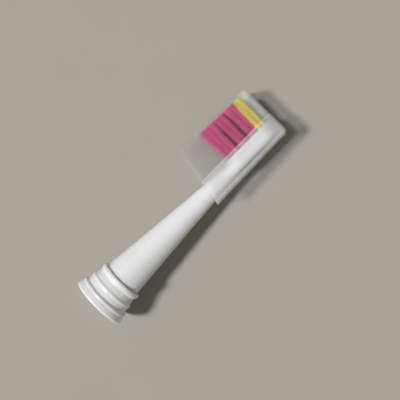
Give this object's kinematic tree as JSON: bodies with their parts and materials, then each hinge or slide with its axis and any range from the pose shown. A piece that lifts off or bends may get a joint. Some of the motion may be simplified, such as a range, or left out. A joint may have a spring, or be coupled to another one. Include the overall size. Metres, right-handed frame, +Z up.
{
  "type": "electric toothbrush head",
  "caption": "Electric toothbrush head with a tapered neck, a stepped collar, a drive shaft socket, bristle tufts in an oval head plate and a frosted slip-on travel cap.",
  "frame": {"origin": "centre of the collar's end face, on the drive axis at the mouth of the handle recess", "axes": "+X along the drive axis from the handle end to the tip, +Y the way the bristles point, +Z up as the part lies on its side"},
  "size_m": [0.084, 0.0272, 0.0194],
  "materials": {
    "neck_white": "satin moulded",
    "collar_white": "glossy moulded",
    "sleeve_plastic": "moulded",
    "clip_steel": "rolled spring strip",
    "anchor_brass": "cut strip",
    "cap_frosted": "frosted, see-through",
    "bristle_pink": "nylon filaments",
    "bristle_yellow": "nylon filaments"
  },
  "bodies": {
    "brush": {"brush_body": "neck_white", "base_collar": "collar_white", "shaft_sleeve": "sleeve_plastic", "shaft_clip": "clip_steel", "tuft_anchors": "anchor_brass", "heel_tuft_1": "bristle_pink", "heel_tuft_2": "bristle_pink", "heel_tuft_3": "bristle_pink", "heel_tuft_4": "bristle_pink", "heel_tuft_5": "bristle_pink", "heel_tuft_6": "bristle_pink", "heel_tuft_7": "bristle_pink", "heel_tuft_8": "bristle_pink", "heel_tuft_9": "bristle_pink", "middle_tuft_1": "bristle_pink", "middle_tuft_2": "bristle_pink", "middle_tuft_3": "bristle_pink", "middle_tuft_4": "bristle_pink", "middle_tuft_5": "bristle_pink", "middle_tuft_6": "bristle_pink", "middle_tuft_7": "bristle_pink", "front_tuft_1": "bristle_pink", "front_tuft_2": "bristle_pink", "front_tuft_3": "bristle_pink", "front_tuft_4": "bristle_pink", "front_tuft_5": "bristle_pink", "front_tuft_6": "bristle_pink", "front_tuft_7": "bristle_pink", "tip_tuft_1": "bristle_yellow", "tip_tuft_2": "bristle_yellow", "tip_tuft_3": "bristle_yellow", "tip_tuft_4": "bristle_yellow", "tip_tuft_5": "bristle_yellow", "tip_tuft_6": "bristle_yellow", "tip_tuft_7": "bristle_yellow"},
    "cap": {"travel_cap": "cap_frosted"}
  },
  "joints": [
    {"name": "cap_slide", "type": "slide", "parent": "brush", "child": "cap", "axis": [1, 0, 0], "range_m": [0, 0.032]}
  ]
}
